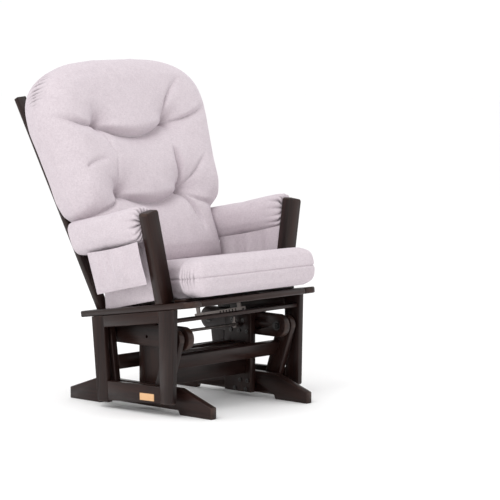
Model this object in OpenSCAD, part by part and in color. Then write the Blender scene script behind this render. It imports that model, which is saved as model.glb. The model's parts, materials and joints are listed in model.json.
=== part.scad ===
// Glider nursery chair: a fixed base, two pairs of swing links, and a carriage with the seat,
// arms, back and cushions. +X is the sitter's left, -Y the front, +Z up, floor at z = 0.
// Y positions below are counted from the middle of the base and moved by origin_y at the end.

/* [Base] */
// Outer face of the feet and upper rails, from the centre line
base_half = 228; // [200:1:260]
// Thickness of the feet and upper rails
base_t = 24; // [18:1:28]
// Front tip of the feet
foot_front = -288; // [-320:1:-270]
// Rear tip of the feet
foot_rear = 348; // [320:1:380]
// Height of the foot tips
foot_tip_h = 36; // [28:1:44]
// Height of the feet between their slopes
foot_mid_h = 83; // [70:1:90]
// Length of each slope and of each pad that meets the floor
foot_pad = 138; // [110:1:160]
// Height of the long arch under the feet
foot_arch = 14; // [6:1:20]
// Height of the upper rails
rail_h = 73; // [60:1:84]
// Height of the upper pivots
pivot_h = 238; // [230:1:245]
// Front upper pivot
pivot_front = -157; // [-165:1:-150]
// Rear upper pivot
pivot_rear = 150; // [144:1:158]
// Thickness of the centre panels
panel_t = 23; // [18:1:26]
// Front edge of the centre panels
panel_front = -64; // [-75:1:-60]
// Rear edge of the centre panels
panel_rear = 54; // [48:1:60]
// Height of the stretchers between the panels
stretcher_h = 103; // [80:1:110]
// Underside of the stretchers
stretcher_low = 75; // [60:1:90]
// Thickness of the stretchers
stretcher_t = 18; // [14:1:22]

/* [Swing links] */
// Distance between a link's two pivots
link_len = 188; // [180:1:192]
// Width of the links
link_w = 60; // [54:1:64]
// Thickness of the links
link_t = 22; // [18:1:24]
// Gap on each side of a link, filled by a spacer at the pivots
link_gap = 12; // [10:1:14]
// Lean of the front links at rest, lower end to the rear
front_lean = 18.5; // [17:0.5:20]
// Lean of the rear links at rest, lower end to the front
rear_lean = 8; // [7:0.5:9]
// Radius of the pivot bolts
bolt_r = 6; // [5:0.5:7]
// Radial play of the hole that lets the rear lower pivots follow the front ones
float_play = 2; // [2:0.1:3]

/* [Side frames] */
// Thickness of the side frames
frame_t = 20; // [18:1:24]
// Slope of the seat boards, down to the rear
seat_tilt = 8.2; // [7:0.1:9]
// Front edge of the seat boards
seat_front = -258; // [-264:1:-250]
// Length of the seat boards along their slope
seat_len = 490; // [480:1:500]
// Underside of the seat boards at their front edge
seat_low = 347; // [344:1:350]
// Thickness of the seat boards
seat_t = 20; // [18:1:22]
// Width of the seat side boards
seat_side_w = 60; // [54:1:64]
// Depth of the seat's front board
seat_front_w = 64; // [56:1:70]
// Height of the top rails
top_rail_h = 37; // [30:1:42]

/* [Arms] */
// Width of the arm posts
arm_post_w = 56; // [50:1:58]
// Thickness of the arm posts
arm_post_t = 34; // [26:1:36]
// Length of the arm posts above the seat boards
arm_post_len = 290; // [270:1:300]
// Outward splay of the arm posts
arm_splay = 11.7; // [10:0.1:12]
// Slope of the arms, down to the rear
arm_slope = 12.2; // [11:0.1:13]
// Height of the arm's middle at the arm post
arm_mid_h = 601; // [596:1:604]
// Distance from the back frame's rear face to the pads' rear ends
pad_end_gap = 53; // [40:1:70]
// Width of the arm pads
pad_w = 84; // [76:1:86]
// Height of the arm pads
pad_h = 114; // [104:1:118]
// Drop of the side pockets below the pads
pocket_drop = 124; // [110:1:126]

/* [Back] */
// Recline of the back frame
back_recline = 26.6; // [26:0.1:28]
// Outward splay of the back posts
back_splay = 3.9; // [3:0.1:4]
// Length of the back posts
back_len = 733; // [700:1:740]
// Width of the back posts
back_post_w = 38; // [34:1:42]
// Thickness of the back posts
back_post_t = 19; // [17:1:21]

/* [Cushions] */
// Thickness of the seat cushion
seat_cushion_t = 118; // [105:1:120]
// Half width of the seat cushion between the arm posts
seat_cushion_half = 234; // [220:1:235]
// Thickness of the back cushion
back_cushion_t = 170; // [150:1:175]
// Recline of the back cushion
cushion_recline = 22; // [21:0.5:23]
// Greatest half width of the back cushion
back_cushion_half = 358; // [345:1:360]

/* [Lock] */
// Length of the racks under the seat
rack_len = 232; // [220:1:235]
// Height of the racks
rack_h = 17; // [14:1:18]
// Middle plane of each rack, from the centre line
rack_x = 168; // [160:1:172]
// Radius of the lock's cross shaft
shaft_r = 5; // [4:0.5:5]
// Length of the hand lever
lever_len = 96; // [80:1:100]

/* [Hidden] */
$fn = 48;
origin_y = 114.3;
pivot_ends = [[pivot_front, front_lean, 1], [pivot_rear, rear_lean, -1]];
run_play = 0.05;
face_play = 0.4;
rail_in = base_half - base_t;
panel_in = rail_in - panel_t;
rail_top = pivot_h + rail_h / 2;
link_in = base_half + link_gap;
link_out = link_in + link_t;
frame_in = link_out + link_gap;
frame_out = frame_in + frame_t;
bearing_r = 15;
spacer_r = 12;
bolt_head_r = 10;
bolt_head_h = 5.5;
front_lower = [pivot_front + link_len * sin(front_lean), pivot_h - link_len * cos(front_lean)];
rear_lower = [pivot_rear - link_len * sin(rear_lean), pivot_h - link_len * cos(rear_lean)];
panel_bolt_places = [[18, 246], [-30, 246], [24, 212], [-12, 212], [-47, 212],
                     [-17, 52], [-50, 52], [6, 24], [-43, 24]];
panel_bolt_r = 3.5;
stretcher_front = -42;
stretcher_rear = 14;
lock_axis = [-6, 232];
seat_slope = tan(seat_tilt);
seat_out = frame_out - 2;
seat_in = seat_out - seat_side_w;
front_post_top = [-192, -124];
front_post_foot = [-185, -131];
front_post_h = 41;
rear_post_top = [122, 176];
rear_post_foot = [100, 150];
rear_post_h = 20;
bottom_rail_front = [40, 93];
bottom_rail_rear = [26, 88];
post_corner = 8;
seat_corner = 28;
arm_post_y = -124;
arm_post_back = 2.3;
arm_front = [320, -104];
arm_rear = [276, 300];
arm_yaw = atan((arm_front[0] - arm_rear[0]) / (arm_rear[1] - arm_front[1]));
arm_rail_t = 22;
arm_rail_h = 56;
back_foot = [260, 188];
slat_t = 9;
slat_rows = [60, 152, 222, 294, 366];
slat_w = 50;
cushion_lift = seat_t + slat_t + 1;
cloth_t = 4;
pocket_start = 4;
pocket_len = 276;
post_gap = 3;
rack_t = 4;
rack_tilt = 11.4;
rack_front = [-52, 296];
rack_hole_r = 4.5;
rack_slots = [40 : 14 : 110];
rack_tabs = [18, 206];
lever_x = frame_out + 8;
bolt_shank_r = 3.5;
bolt_shank_x = [246, 262];
back_shank_x = 242;
brace_h = 46;
front_brace = [82, 9, 20];
rear_brace = [101, -21, 18];
seat_rear_w = 45;
slat_overlap = 14;
tie_bar_at = [-184, 294];
tie_bar_size = [20, 12];
badge_at = [-106, 46];
badge_size = [1.5, 62, 22];
badge_tilt = 1.5;
seat_cushion_front = -26;
seat_cushion_depth = 428;
seat_cushion_corner = 46;
arm_pad_corner = 24;
back_rail_h = 60;
back_rail_lows = [60, 560];
back_slat_x = [-150, -50, 50, 150];
back_slat_w = 44;
back_slat_t = 9;
back_cushion_at = [178, 448];
back_cushion_round = 50;
back_cushion_top = 604;
back_cushion_neck = 214;
back_cushion_neck_half = 232;

wood = [0.15, 0.11, 0.10];
steel = [0.55, 0.54, 0.53];
fabric = [0.85, 0.81, 0.85];
tan_wood = [0.85, 0.68, 0.50];

// Heights along the sloping seat boards and the tapering posts
function seat_z(y) = seat_low - seat_slope * (y - seat_front);
function between(a, b, z, za, zb) = a + (b - a) * (z - za) / (zb - za);
function front_post_back(z) =
    between(front_post_foot[1], front_post_top[1], z, front_post_h, seat_z(front_post_top[1]));
function rear_post_fore(z) =
    between(rear_post_foot[0], rear_post_top[0], z, rear_post_h, seat_z(rear_post_top[0]));

// Everything is drawn through this, so that the box's middle is at y = 0
module placed() {
    translate([0, -origin_y, 0]) children();
}

// Draws its children on the sitter's left (side = 1) or right (side = -1)
module on_side(side) {
    placed() mirror([side < 0 ? 1 : 0, 0, 0]) children();
}

module on_both_sides() {
    for (side = [1, -1]) on_side(side) children();
}

// A board cut from an outline in Y and Z, standing from x to x + thickness
module upright_board(x, thickness) {
    translate([x, 0, 0]) rotate([90, 0, 90]) linear_extrude(thickness) children();
}

// A rod or hole along X
module cross_rod(r, x, length, y, z, sides = 48) {
    translate([x, y, z]) rotate([0, 90, 0]) cylinder(r = r, h = length, $fn = sides);
}

module washer(r_out, r_in, x, length, y, z) {
    difference() {
        cross_rod(r_out, x, length, y, z);
        cross_rod(r_in, x - 1, length + 2, y, z);
    }
}

// The sloping plane of the seat boards: z = 0 is their underside
module on_seat() {
    translate([0, seat_front, seat_low]) rotate([-seat_tilt, 0, 0]) children();
}

// The middle line of an arm, which starts at the arm post and runs to the back post
module on_arm() {
    translate([arm_front[0], arm_front[1], arm_mid_h]) rotate([0, 0, arm_yaw])
        rotate([-arm_slope, 0, 0]) children();
}

// The plane of the back frame: y = 0 is its rear face, z runs up the back
module on_back() {
    translate([0, back_foot[1], seat_z(back_foot[1]) + seat_t]) rotate([-back_recline, 0, 0]) children();
}

// ---- Base ----

module foot(side) {
    color(wood) difference() {
        on_side(side) upright_board(rail_in, base_t) polygon([
            [foot_front, 0], [foot_front + foot_pad, 0], [foot_front + foot_pad + 6, foot_arch],
            [foot_rear - foot_pad - 6, foot_arch], [foot_rear - foot_pad, 0], [foot_rear, 0],
            [foot_rear, foot_tip_h], [foot_rear - foot_pad, foot_mid_h],
            [foot_front + foot_pad, foot_mid_h], [foot_front, foot_tip_h]]);
        panel_bolt_holes(side);
    }
}

module upper_rail(side) {
    color(wood) difference() {
        on_side(side) upright_board(rail_in, base_t) union() {
            translate([pivot_front, pivot_h - rail_h / 2]) square([pivot_rear - pivot_front, rail_h]);
            for (y = [pivot_front, pivot_rear]) translate([y, pivot_h]) circle(r = rail_h / 2, $fn = 96);
        }
        for (y = [pivot_front, pivot_rear])
            on_side(side) cross_rod(bolt_r, rail_in - 1, base_t + 2, y, pivot_h);
        panel_bolt_holes(side);
        on_side(side) cross_rod(shaft_r + run_play, rail_in - 1, base_t + 2, lock_axis[0], lock_axis[1]);
    }
}

// The bolts go through the panel and 12 mm into the foot or rail
module panel_bolt_holes(side) {
    for (p = panel_bolt_places)
        on_side(side) cross_rod(panel_bolt_r, panel_in - 1, panel_t + 13, p[0], p[1]);
}

module centre_panel(side) {
    color(wood) difference() {
        on_side(side) translate([panel_in, panel_front, foot_arch])
            cube([panel_t, panel_rear - panel_front, rail_top - foot_arch]);
        panel_bolt_holes(side);
        on_side(side) cross_rod(shaft_r + run_play, panel_in - 1, panel_t + 2, lock_axis[0], lock_axis[1]);
    }
}

module stretcher(front_face) {
    color(wood) placed() translate([-panel_in, front_face, stretcher_low])
        cube([2 * panel_in, stretcher_t, stretcher_h]);
}

module panel_bolts() {
    color(steel) for (p = panel_bolt_places) on_both_sides() {
        cross_rod(panel_bolt_r, panel_in, panel_t + 12, p[0], p[1]);
        difference() {
            cross_rod(panel_bolt_r + 3, panel_in - 3, 3, p[0], p[1]);
            cross_rod(2.5, panel_in - 4, 3, p[0], p[1], 6);
        }
    }
}

module upper_pivot_bolts() {
    color(steel) for (y = [pivot_front, pivot_rear]) on_both_sides() {
        cross_rod(bolt_r, rail_in - 12, link_out + face_play - rail_in + 12, y, pivot_h);
        cross_rod(bolt_head_r, link_out + face_play, bolt_head_h, y, pivot_h, 6);
    }
}

module upper_pivot_nuts() {
    color(steel) for (y = [pivot_front, pivot_rear]) on_both_sides() {
        washer(bearing_r, bolt_r, rail_in - 2, 2, y, pivot_h);
        difference() {
            cross_rod(bolt_head_r, rail_in - 10, 8, y, pivot_h, 6);
            cross_rod(bolt_r, rail_in - 11, 10, y, pivot_h);
        }
    }
}

module upper_spacers() {
    color(steel) for (y = [pivot_front, pivot_rear]) on_both_sides()
        washer(spacer_r, bolt_r, base_half, link_gap - face_play, y, pivot_h);
}

// ---- Swing links ----

// Draws its children along a link: y = 0, z = 0 is the upper pivot and -z runs down the link
module on_link(end) {
    translate([0, end[0], pivot_h]) rotate([end[1] * end[2], 0, 0]) children();
}

module swing_link(end, side) {
    color(wood) on_side(side) on_link(end) difference() {
        upright_board(link_in, link_t) union() {
            translate([-link_w / 2, -link_len]) square([link_w, link_len]);
            for (z = [0, -link_len]) translate([0, z]) circle(r = link_w / 2, $fn = 96);
        }
        for (z = [0, -link_len]) cross_rod(bearing_r, link_in - 1, link_t + 2, 0, z);
    }
}

// lower_play widens the lower bearings' holes on the pair that floats
module link_bearings(end, lower_play) {
    color(steel) on_both_sides() on_link(end) {
        washer(bearing_r, bolt_r + run_play, link_in, link_t, 0, 0);
        washer(bearing_r, bolt_r + lower_play, link_in, link_t, 0, -link_len);
    }
}

// A board between the two links of a pair: brace gives its distance down the links, its offset
// towards one edge of them and its thickness
module link_brace(end, brace) {
    color(wood) placed() on_link(end)
        translate([-link_in, brace[1] - brace[2] / 2, -brace[0] - brace_h / 2])
            cube([2 * link_in, brace[2], brace_h]);
}

// ---- Side frames ----

module front_post(side) {
    color(wood) on_side(side) upright_board(frame_in, frame_t) polygon([
        [front_post_foot[0] + 5, front_post_h], [front_post_foot[1], front_post_h],
        [front_post_top[1], seat_z(front_post_top[1])], [front_post_top[0], seat_z(front_post_top[0])],
        [front_post_foot[0], front_post_h + 5]]);
}

module rear_post(side) {
    color(wood) difference() {
        on_side(side) upright_board(frame_in, frame_t) difference() {
            polygon([[rear_post_foot[0], rear_post_h], [rear_post_foot[1], rear_post_h],
                     [rear_post_top[1], seat_z(rear_post_top[1])],
                     [rear_post_top[0], seat_z(rear_post_top[0])]]);
            translate([rear_post_foot[1] - post_corner, rear_post_h - 1]) difference() {
                square([post_corner + 3, post_corner + 1]);
                translate([0, post_corner + 1]) circle(r = post_corner);
            }
        }
        on_side(side) cross_rod(bolt_r, frame_in - 1, 13, rear_lower[0], rear_lower[1]);
    }
}

module top_rail(side) {
    fore_z = seat_z(front_post_top[1]) - top_rail_h;
    aft_z = seat_z(rear_post_top[0]) - top_rail_h;
    color(wood) on_side(side) upright_board(frame_in, frame_t) polygon([
        [front_post_back(fore_z), fore_z], [rear_post_fore(aft_z), aft_z],
        [rear_post_top[0], seat_z(rear_post_top[0])], [front_post_top[1], seat_z(front_post_top[1])]]);
}

module bottom_rail(side) {
    color(wood) difference() {
        on_side(side) upright_board(frame_in, frame_t) polygon([
            [front_post_back(front_post_h), bottom_rail_front[0] + 1],
            [rear_post_fore(bottom_rail_rear[0]), bottom_rail_rear[0]],
            [rear_post_fore(bottom_rail_rear[1]), bottom_rail_rear[1]],
            [front_post_back(bottom_rail_front[1]), bottom_rail_front[1]]]);
        on_side(side) cross_rod(bolt_r, frame_in - 1, 13, front_lower[0], front_lower[1]);
    }
}

module lower_pivot_bolts() {
    color(steel) for (p = [front_lower, rear_lower]) on_both_sides() {
        cross_rod(bolt_r, link_in - face_play, frame_in + 12 - link_in + face_play, p[0], p[1]);
        cross_rod(bolt_head_r, link_in - face_play - bolt_head_h, bolt_head_h, p[0], p[1], 6);
    }
}

module lower_spacers() {
    color(steel) for (p = [front_lower, rear_lower]) on_both_sides()
        washer(spacer_r, bolt_r, link_out + face_play, link_gap - face_play, p[0], p[1]);
}

module badge_plate() {
    color(tan_wood) on_side(-1) translate([frame_out, badge_at[0], badge_at[1]]) rotate([-badge_tilt, 0, 0])
        cube(badge_size);
}

// ---- Seat ----

module seat_board(side) {
    color(wood) difference() {
        on_side(side) on_seat() linear_extrude(seat_t) union() {
            translate([seat_in, 0]) square([seat_side_w - seat_corner, seat_len]);
            translate([seat_in, seat_corner]) square([seat_side_w, seat_len - seat_corner]);
            translate([seat_out - seat_corner, seat_corner]) circle(r = seat_corner, $fn = 96);
        }
        frame_bolt_shanks(bolt_shank_r);
    }
}

module seat_board_front() {
    color(wood) placed() on_seat() translate([-seat_in, 0, 0]) cube([2 * seat_in, seat_front_w, seat_t]);
}

module seat_board_rear() {
    color(wood) placed() on_seat() translate([-seat_in, seat_len - seat_rear_w, 0])
        cube([2 * seat_in, seat_rear_w, seat_t]);
}

module seat_slats() {
    color(wood) placed() for (y = slat_rows) on_seat()
        translate([-seat_in - slat_overlap, y, seat_t]) cube([2 * (seat_in + slat_overlap), slat_w, slat_t]);
}

module tie_bar() {
    color(wood) placed() translate([-frame_in, tie_bar_at[0], tie_bar_at[1]])
        cube([2 * frame_in, tie_bar_size[0], tie_bar_size[1]]);
}

module seat_cushion() {
    corner = seat_cushion_corner;
    color(fabric) placed() on_seat() translate([0, seat_cushion_front, cushion_lift])
        linear_extrude(seat_cushion_t) union() {
            translate([-seat_cushion_half, corner])
                square([2 * seat_cushion_half, seat_cushion_depth - corner]);
            translate([-seat_cushion_half + corner, 0])
                square([2 * (seat_cushion_half - corner), seat_cushion_depth]);
            for (x = [-1, 1])
                translate([x * (seat_cushion_half - corner), corner]) circle(r = corner, $fn = 96);
        }
}

// ---- Arms ----

module arm_post(side) {
    corner = 9;
    color(wood) difference() {
        on_side(side) translate([seat_out, arm_post_y, seat_z(arm_post_y) + seat_t])
            rotate([-arm_post_back, 0, 0]) rotate([0, arm_splay, 0])
                translate([0, arm_post_t / 2, 0]) rotate([90, 0, 0]) linear_extrude(arm_post_t) union() {
                    translate([-arm_post_w, -20]) square([arm_post_w, arm_post_len + 20 - corner]);
                    translate([corner - arm_post_w, 0]) square([arm_post_w - 2 * corner, arm_post_len]);
                    for (x = [corner - arm_post_w, -corner])
                        translate([x, arm_post_len - corner]) circle(r = corner);
                }
        below_seat_top();
        frame_bolt_shanks(bolt_shank_r);
    }
}

// Everything under the top face of the seat boards
module below_seat_top() {
    placed() on_seat() translate([-500, -200, seat_t - 200]) cube([1000, 900, 200]);
}

// Everything in front of the arm posts' rear faces, and a gap behind them
module before_arm_posts(gap) {
    placed() translate([0, arm_post_y, seat_z(arm_post_y) + seat_t]) rotate([-arm_post_back, 0, 0])
        translate([-500, arm_post_t / 2 + gap - 200, -100]) cube([1000, 200, 600]);
}

module arm_rail(side) {
    color(wood) difference() {
        on_side(side) on_arm() translate([-arm_rail_t / 2, -20, -arm_rail_h / 2])
            cube([arm_rail_t, 470, arm_rail_h]);
        before_arm_posts(0);
        behind_back_plane(back_post_t);
    }
}

// Everything behind a plane that lies this far in front of the back frame's rear face
module behind_back_plane(distance) {
    placed() on_back() translate([-500, -distance, -300]) cube([1000, 500, 1500]);
}

// A padded sleeve round the arm rail, cut off along the arm post and along the back's recline
module arm_pad(side) {
    corner = arm_pad_corner;
    color(fabric) difference() {
        on_side(side) on_arm() translate([0, 420, 0]) rotate([90, 0, 0]) linear_extrude(440) difference() {
            union() {
                translate([corner - pad_w / 2, -pad_h / 2]) square([pad_w - 2 * corner, pad_h]);
                translate([-pad_w / 2, corner - pad_h / 2]) square([pad_w, pad_h - 2 * corner]);
                for (x = [-1, 1], z = [-1, 1])
                    translate([x * (pad_w / 2 - corner), z * (pad_h / 2 - corner)]) circle(r = corner);
            }
            translate([-arm_rail_t / 2 - 0.5, -arm_rail_h / 2 - 0.5])
                square([arm_rail_t + 1, arm_rail_h + 1]);
        }
        before_arm_posts(post_gap);
        behind_back_plane(pad_end_gap);
    }
}

// A hanging panel of the side pocket, which leans in towards the seat as it drops
module pocket_panel(side, top_x, lean, drop, top) {
    color(fabric) difference() {
        on_side(side) on_arm() translate([top_x, pocket_start, -pad_h / 2 - top]) rotate([0, lean, 0])
            translate([0, 0, -drop]) cube([cloth_t, pocket_len, drop]);
        before_arm_posts(post_gap);
    }
}

module pocket_outer(side) {
    pocket_panel(side, pad_w / 2 - 14, arm_splay + 3, pocket_drop, 8);
}

module pocket_inner(side) {
    pocket_panel(side, 12 - pad_w / 2, 4, pocket_drop - 6, 1);
}

// ---- Back ----

module back_post(side) {
    color(wood) difference() {
        on_side(side) on_back() translate([back_foot[0], 0, 0]) rotate([0, back_splay, 0])
            translate([-back_post_w, -back_post_t, -20]) cube([back_post_w, back_post_t, back_len + 20]);
        below_seat_top();
        frame_bolt_shanks(bolt_shank_r);
    }
}

// The space between the two back posts
module between_back_posts() {
    for (side = [1, -1]) on_side(side) on_back() translate([back_foot[0], 0, 0]) rotate([0, back_splay, 0])
        translate([-back_post_w, -60, -100]) cube([200, 120, 1100]);
}

module back_rail(low) {
    color(wood) difference() {
        placed() on_back() translate([-320, -back_post_t, low]) cube([640, back_post_t, back_rail_h]);
        between_back_posts();
    }
}

// The slats stand between the two back rails, in the middle of their thickness
module back_slats() {
    low = back_rail_lows[0] + back_rail_h;
    color(wood) for (x = back_slat_x)
        placed() on_back() translate([x - back_slat_w / 2, -(back_post_t + back_slat_t) / 2, low])
            cube([back_slat_w, back_slat_t, back_rail_lows[1] - low]);
}

module back_cushion() {
    round_r = back_cushion_round;
    wide = back_cushion_half - round_r;
    narrow = back_cushion_neck_half - round_r;
    neck = back_cushion_neck;
    top = back_cushion_top;
    half_outline = [[narrow, round_r - 60], [narrow, neck], [wide - 26, neck + 36], [wide, top - 144],
                    [wide - 30, top - 52], [wide - 130, top - 16]];
    color(fabric) difference() {
        placed() translate([0, back_cushion_at[0], back_cushion_at[1]]) rotate([-cushion_recline, 0, 0])
            translate([0, back_cushion_t / 2, 0]) rotate([90, 0, 0]) linear_extrude(back_cushion_t)
                offset(r = round_r) polygon(concat(half_outline, [[0, top]],
                    [for (i = [len(half_outline) - 1 : -1 : 0]) [-half_outline[i][0], half_outline[i][1]]]));
        placed() on_back() translate([-500, -back_post_t - 1, -200]) cube([1000, 400, 1400]);
        placed() on_seat()
            translate([-500, -200, cushion_lift + seat_cushion_t + 1 - 300]) cube([1000, 900, 300]);
    }
}

// ---- Fasteners of the frame ----

// Bolts up through the seat boards into the arm posts and back posts
module frame_bolt_shanks(r) {
    on_both_sides() on_seat() {
        for (x = bolt_shank_x)
            translate([x, arm_post_y - seat_front, 0]) cylinder(r = r, h = seat_t + 26);
        translate([back_shank_x, back_foot[1] - seat_front + 3, 0]) cylinder(r = r, h = seat_t + 20);
    }
}

module frame_bolts() {
    color(steel) {
        frame_bolt_shanks(bolt_shank_r);
        on_both_sides() on_seat() {
            for (x = bolt_shank_x)
                translate([x, arm_post_y - seat_front, -3]) cylinder(r = 7, h = 3, $fn = 6);
            translate([back_shank_x, back_foot[1] - seat_front + 3, -3]) cylinder(r = 7, h = 3, $fn = 6);
        }
    }
}

// ---- Lock ----

module lock_racks() {
    color(steel) on_both_sides() translate([rack_x - rack_t / 2, rack_front[0], rack_front[1]])
        rotate([-rack_tilt, 0, 0]) difference() {
            union() {
                translate([0, 0, -rack_h]) cube([rack_t, rack_len, rack_h]);
                for (y = rack_tabs) translate([0, y, -rack_h / 2])
                    cube([rack_t, 16, rack_h / 2 + 34 + y * sin(rack_tilt - seat_tilt)]);
            }
            cross_rod(rack_hole_r, -1, rack_t + 2, 9, -rack_h / 2);
            for (y = rack_slots) translate([-1, y, 3 - rack_h]) cube([rack_t + 2, 5, rack_h - 6]);
        }
}

module lock_shaft() {
    color(steel) placed() cross_rod(shaft_r, 3 - rail_in, rail_in - 3 + lever_x, lock_axis[0], lock_axis[1]);
}

module lock_pawls() {
    color(steel) on_both_sides() translate([rack_x - 3, lock_axis[0], lock_axis[1]]) difference() {
        union() {
            rotate([0, 90, 0]) cylinder(r = 11, h = 6);
            translate([0, -4, 0]) cube([6, 8, 25]);
        }
        cross_rod(shaft_r, -1, 8, 0, 0);
    }
}

module lock_lever() {
    color(steel) placed() translate([lever_x, lock_axis[0], lock_axis[1]]) union() {
        rotate([0, 90, 0]) cylinder(r = 12, h = 5);
        translate([0, -7, 0]) cube([5, 14, lever_len]);
    }
}

module lock_knob() {
    color(wood) placed() translate([lever_x + 5, lock_axis[0], lock_axis[1] + lever_len])
        rotate([0, 90, 0]) cylinder(r = 14, h = 15);
}

foot(-1);  // foot_right
foot(1);  // foot_left
upper_rail(-1);  // upper_rail_right
upper_rail(1);  // upper_rail_left
centre_panel(-1);  // centre_panel_right
centre_panel(1);  // centre_panel_left
stretcher(stretcher_front);
stretcher(stretcher_rear);
panel_bolts();
upper_pivot_bolts();
upper_pivot_nuts();
upper_spacers();
swing_link(pivot_ends[0], -1);  // front_link_right
swing_link(pivot_ends[0], 1);  // front_link_left
link_brace(pivot_ends[0], front_brace);
link_bearings(pivot_ends[0], run_play);  // front_bearings
swing_link(pivot_ends[1], -1);  // rear_link_right
swing_link(pivot_ends[1], 1);  // rear_link_left
link_brace(pivot_ends[1], rear_brace);
link_bearings(pivot_ends[1], float_play);  // rear_bearings
front_post(-1);  // front_post_right
front_post(1);  // front_post_left
rear_post(-1);  // rear_post_right
rear_post(1);  // rear_post_left
top_rail(-1);  // top_rail_right
top_rail(1);  // top_rail_left
bottom_rail(-1);  // bottom_rail_right
bottom_rail(1);  // bottom_rail_left
seat_board(-1);  // seat_board_right
seat_board(1);  // seat_board_left
seat_board_front();
seat_board_rear();
tie_bar();
seat_slats();
lower_pivot_bolts();
lower_spacers();
arm_post(-1);  // arm_post_right
arm_post(1);  // arm_post_left
arm_rail(-1);  // arm_rail_right
arm_rail(1);  // arm_rail_left
arm_pad(-1);  // arm_pad_right
arm_pad(1);  // arm_pad_left
pocket_outer(-1);  // pocket_outer_right
pocket_outer(1);  // pocket_outer_left
pocket_inner(-1);  // pocket_inner_right
pocket_inner(1);  // pocket_inner_left
back_post(-1);  // back_post_right
back_post(1);  // back_post_left
back_rail(back_rail_lows[0]);  // back_rail_lower
back_rail(back_rail_lows[1]);  // back_rail_upper
back_slats();
seat_cushion();
back_cushion();
lock_racks();
badge_plate();
frame_bolts();
lock_shaft();
lock_pawls();
lock_lever();
lock_knob();
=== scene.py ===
import json
from math import cos, pi, radians, sin, tan

import bmesh
import bpy
import numpy as np
from mathutils import Matrix, Vector


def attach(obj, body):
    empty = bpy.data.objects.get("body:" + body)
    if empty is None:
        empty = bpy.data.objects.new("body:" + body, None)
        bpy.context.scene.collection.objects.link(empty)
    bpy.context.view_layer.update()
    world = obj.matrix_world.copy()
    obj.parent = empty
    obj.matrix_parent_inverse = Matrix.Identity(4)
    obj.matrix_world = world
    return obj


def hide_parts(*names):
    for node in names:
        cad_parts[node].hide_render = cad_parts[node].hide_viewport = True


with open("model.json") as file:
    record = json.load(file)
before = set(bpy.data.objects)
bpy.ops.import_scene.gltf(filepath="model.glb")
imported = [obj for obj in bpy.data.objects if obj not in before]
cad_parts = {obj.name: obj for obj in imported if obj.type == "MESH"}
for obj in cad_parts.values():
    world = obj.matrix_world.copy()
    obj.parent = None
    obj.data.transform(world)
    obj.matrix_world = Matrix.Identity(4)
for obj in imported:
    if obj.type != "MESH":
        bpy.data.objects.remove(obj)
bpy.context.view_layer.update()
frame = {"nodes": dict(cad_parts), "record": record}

nodes = frame["nodes"]
bodyOf = {node: body for body, members in frame["record"]["behaviour"]["bodies"].items() for node in members}
slotOf = {part["node"]: part["material_slot"] for part in frame["record"]["subparts"]}

# Where the chair is seen from, in metres and degrees
cameraLook = {
    "place": (-6.3077, -6.3817, 1.4312),
    "azimuth": -46.2754,
    "elevation": 6.0713,
    "lens": 202.93,
    "sensor": 36,
}


def makeCamera(look):
    azimuth = radians(look["azimuth"])
    elevation = radians(look["elevation"])
    back = Vector((sin(azimuth) * cos(elevation), -cos(azimuth) * cos(elevation), sin(elevation)))
    camera = bpy.data.objects.new("camera", bpy.data.cameras.new("camera"))
    bpy.context.scene.collection.objects.link(camera)
    camera.data.lens = look["lens"]
    camera.data.sensor_width = look["sensor"]
    camera.data.clip_end = 60
    camera.location = look["place"]
    camera.rotation_mode = "QUATERNION"
    camera.rotation_quaternion = (-back).to_track_quat("-Z", "Y")
    bpy.context.scene.camera = camera


makeCamera(cameraLook)
print("camera set")

studioLook = {
    "floorSize": 30,
    "floorColour": (0.99, 0.988, 0.988, 1),
    "skyColour": (1.0, 1.0, 1.0, 1),
    "skyStrength": 1.02,
    "lamps": {
        "keyBox": {"place": (-3.4, -1.2, 3.8), "size": 1.8, "power": 78},
        "frontBox": {"place": (2.2, -4.2, 2.4), "size": 2.6, "power": 8},
        "topBox": {"place": (0.4, 0.8, 4.2), "size": 3.0, "power": 14},
    },
}


def makeStudio(look):
    scene = bpy.context.scene
    scene.view_settings.view_transform = "Standard"
    half = look["floorSize"] / 2
    mesh = bpy.data.meshes.new("floor")
    corners = [(-half, -half, 0), (half, -half, 0), (half, half, 0), (-half, half, 0)]
    mesh.from_pydata(corners, [], [(0, 1, 2, 3)])
    floor = bpy.data.objects.new("floor", mesh)
    scene.collection.objects.link(floor)
    paint = bpy.data.materials.new("floorPaint")
    paint.use_nodes = True
    shader = paint.node_tree.nodes["Principled BSDF"]
    shader.inputs["Base Color"].default_value = look["floorColour"]
    shader.inputs["Roughness"].default_value = 0.9
    shader.inputs["Specular IOR Level"].default_value = 0.1
    mesh.materials.append(paint)
    world = bpy.data.worlds.new("studioSky")
    scene.world = world
    world.use_nodes = True
    sky = world.node_tree.nodes["Background"]
    sky.inputs["Color"].default_value = look["skyColour"]
    sky.inputs["Strength"].default_value = look["skyStrength"]
    for name, lamp in look["lamps"].items():
        light = bpy.data.lights.new(name, "AREA")
        light.size = lamp["size"]
        light.energy = lamp["power"]
        box = bpy.data.objects.new(name, light)
        scene.collection.objects.link(box)
        box.location = lamp["place"]
        box.rotation_mode = "QUATERNION"
        aim = Vector((0, 0, 0.55)) - Vector(lamp["place"])
        box.rotation_quaternion = aim.to_track_quat("-Z", "Y")


makeStudio(studioLook)
print("studio set")


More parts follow.
